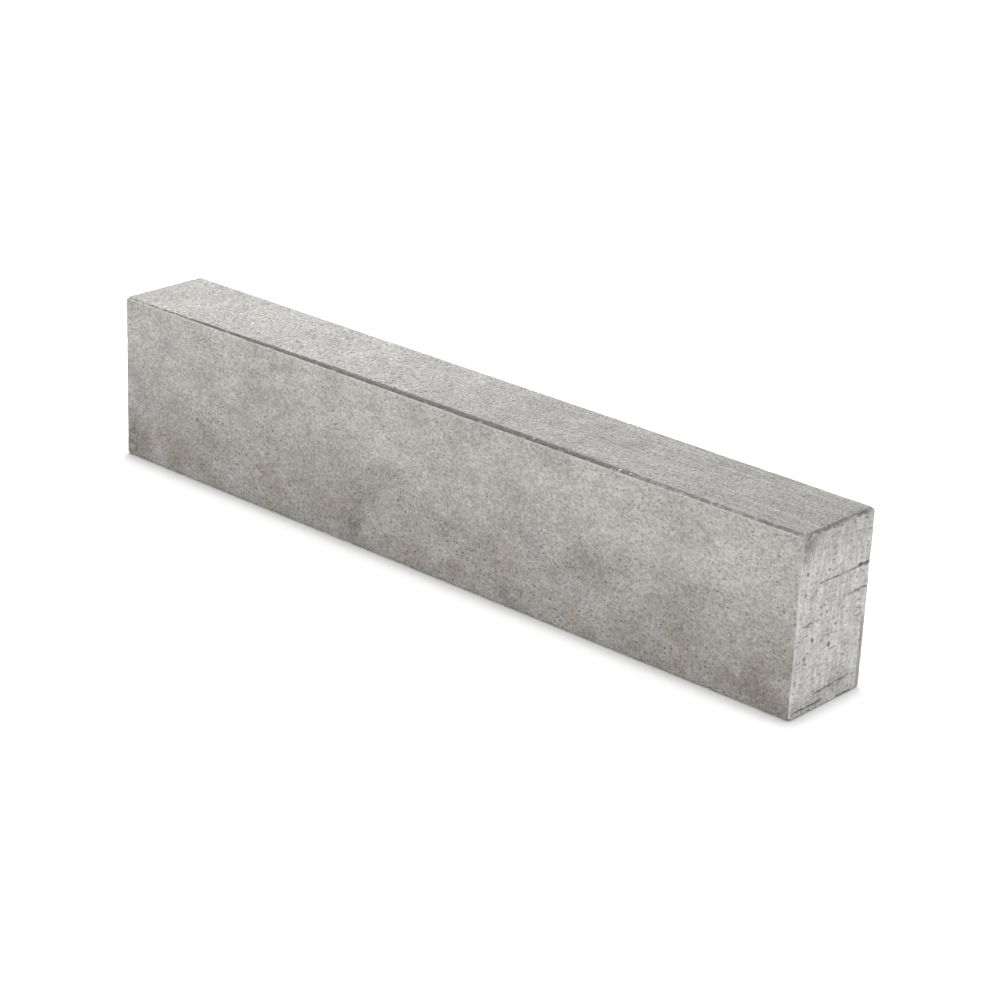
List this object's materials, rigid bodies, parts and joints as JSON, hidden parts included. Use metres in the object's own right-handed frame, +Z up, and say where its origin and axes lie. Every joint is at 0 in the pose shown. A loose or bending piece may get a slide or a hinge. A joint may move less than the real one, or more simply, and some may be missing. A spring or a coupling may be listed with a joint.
{
  "type": "concrete kerb stone",
  "caption": "Straight solid concrete kerb stone with chamfered top edges, stood on its bed face to edge a path, road or planting bed.",
  "frame": {"origin": "centre of the bed face, which rests on the ground", "axes": "+X along the length of the stone, +Y from the exposed face to the back, +Z up from the bed to the top"},
  "size_m": [1, 0.12, 0.2],
  "materials": {
    "concrete": "matte"
  },
  "bodies": {
    "root": {"kerb_stone": "concrete"}
  },
  "joints": []
}
